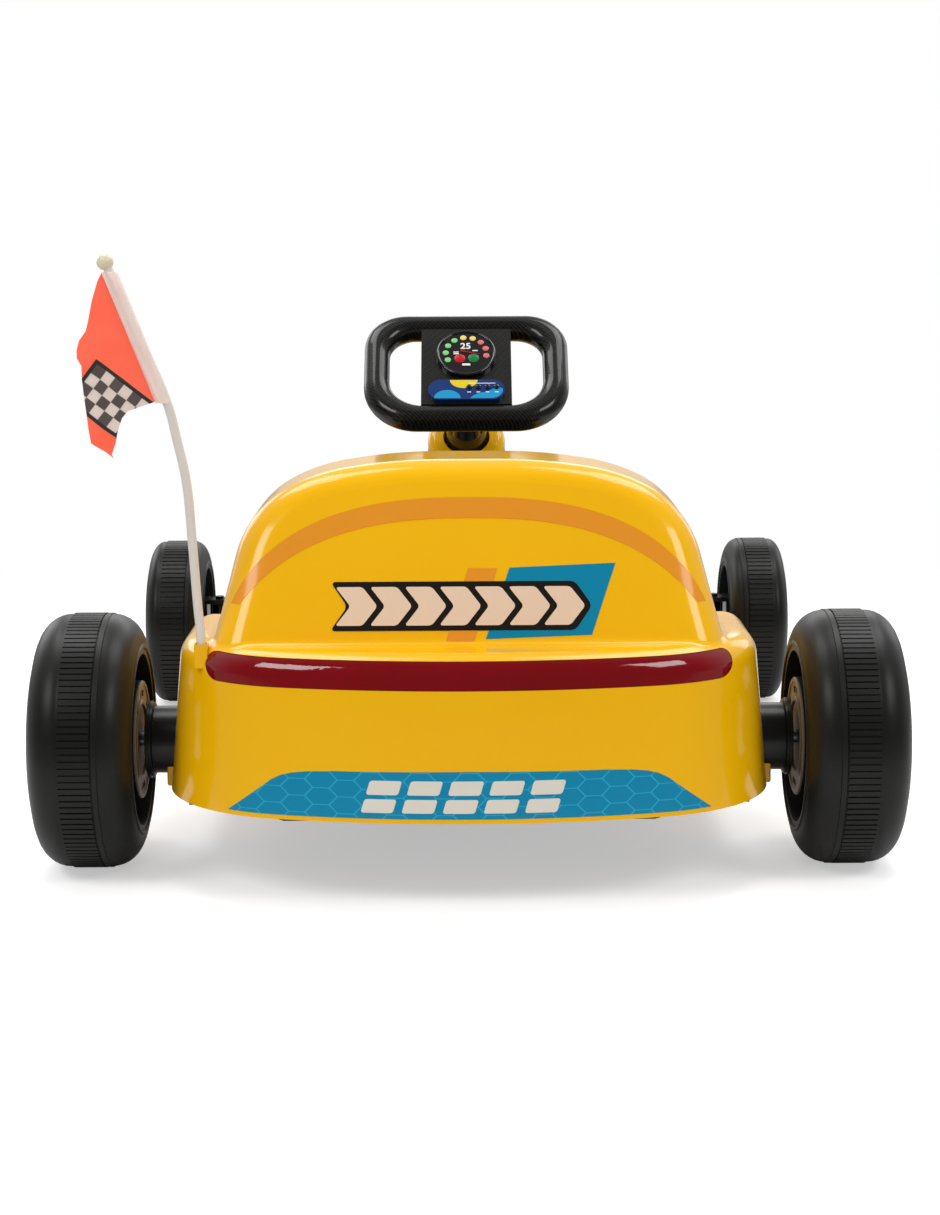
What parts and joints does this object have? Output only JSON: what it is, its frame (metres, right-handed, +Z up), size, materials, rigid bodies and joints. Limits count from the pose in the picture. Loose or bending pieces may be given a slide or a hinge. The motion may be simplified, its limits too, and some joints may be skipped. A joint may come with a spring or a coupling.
{
  "type": "electric go-kart",
  "caption": "Child's electric ride-on go-kart: moulded body with a humped tail, bucket seat, steered front wheels, driven rear wheels and a flag on a bent pole.",
  "frame": {"origin": "on the floor, below the middle of the length and width", "axes": "+Y forward, +X the driver's right, +Z up"},
  "size_m": [0.7366, 1.02, 0.5269],
  "materials": {
    "yellow_shell": "gloss",
    "red_lens": "clear red",
    "reflector": "faceted",
    "wheel_tread": "satin",
    "wheel_plastic": "satin",
    "steel": "bright",
    "flag_cloth": "nylon",
    "white_plastic": "satin",
    "cream_plastic": "gloss",
    "battery_case": "satin",
    "blue_panel": "printed",
    "dial_black": "printed",
    "woven_black": "woven print",
    "black_plastic": "satin"
  },
  "bodies": {
    "chassis": {"accelerator_pedal": "black_plastic", "axle_nut_left": "steel", "axle_nut_right": "steel", "battery": "battery_case", "charging_socket": "black_plastic", "column_bracket": "black_plastic", "flag_cloth": "flag_cloth", "flag_pole": "white_plastic", "flag_socket": "yellow_shell", "floor_pan": "black_plastic", "front_beam": "black_plastic", "gearbox_left": "black_plastic", "gearbox_right": "black_plastic", "lamp_reflector": "reflector", "nose_body": "yellow_shell", "nose_bumper": "black_plastic", "pole_tip": "cream_plastic", "rear_axle": "steel", "seat": "black_plastic", "side_pod_left": "yellow_shell", "side_pod_right": "yellow_shell", "switch_plate": "black_plastic", "tail_body": "yellow_shell", "tail_lamp": "red_lens"},
    "steering": {"column_sleeve": "black_plastic", "control_strip": "blue_panel", "dial": "dial_black", "steering_shaft": "steel", "steering_wheel": "woven_black"},
    "tie_rod": {"tie_rod": "black_plastic"},
    "knuckle_left": {"knuckle_left": "black_plastic"},
    "knuckle_right": {"knuckle_right": "black_plastic"},
    "front_wheel_left": {"front_cap_left": "wheel_plastic", "front_rim_left": "wheel_plastic", "front_tyre_left": "wheel_tread"},
    "front_wheel_right": {"front_cap_right": "wheel_plastic", "front_rim_right": "wheel_plastic", "front_tyre_right": "wheel_tread"},
    "rear_wheel_left": {"rear_cap_left": "wheel_plastic", "rear_rim_left": "wheel_plastic", "rear_tyre_left": "wheel_tread"},
    "rear_wheel_right": {"rear_cap_right": "wheel_plastic", "rear_rim_right": "wheel_plastic", "rear_tyre_right": "wheel_tread"}
  },
  "joints": [
    {"name": "steering", "type": "hinge", "parent": "chassis", "child": "steering", "pos_m": [0, -0.0311, 0.4031], "axis": [0, -0.7071, 0.7071], "range_deg": [-35, 35]},
    {"name": "kingpin_left", "type": "hinge", "parent": "chassis", "child": "knuckle_left", "pos_m": [-0.286, 0.347, 0.093], "axis": [0, 0, 1], "range_deg": [-21, 21]},
    {"name": "kingpin_right", "type": "hinge", "parent": "chassis", "child": "knuckle_right", "pos_m": [0.286, 0.347, 0.093], "axis": [0, 0, 1], "range_deg": [-21, 21]},
    {"name": "tie_rod_pivot", "type": "hinge", "parent": "knuckle_left", "child": "tie_rod", "pos_m": [-0.286, 0.297, 0.0765], "axis": [0, 0, 1], "range_deg": [-21, 21]},
    {"name": "front_wheel_left_spin", "type": "hinge", "parent": "knuckle_left", "child": "front_wheel_left", "pos_m": [-0.3304, 0.347, 0.093], "axis": [1, 0, 0], "continuous": true},
    {"name": "rear_wheel_left_spin", "type": "hinge", "parent": "chassis", "child": "rear_wheel_left", "pos_m": [-0.3243, -0.353, 0.11], "axis": [1, 0, 0], "continuous": true},
    {"name": "front_wheel_right_spin", "type": "hinge", "parent": "knuckle_right", "child": "front_wheel_right", "pos_m": [0.3304, 0.347, 0.093], "axis": [1, 0, 0], "continuous": true},
    {"name": "rear_wheel_right_spin", "type": "hinge", "parent": "chassis", "child": "rear_wheel_right", "pos_m": [0.3243, -0.353, 0.11], "axis": [1, 0, 0], "continuous": true}
  ],
  "couplings": [
    {"joint": "kingpin_left", "follows": "steering", "ratio": 0.6},
    {"joint": "kingpin_right", "follows": "steering", "ratio": 0.6},
    {"joint": "tie_rod_pivot", "follows": "steering", "ratio": -0.6}
  ]
}
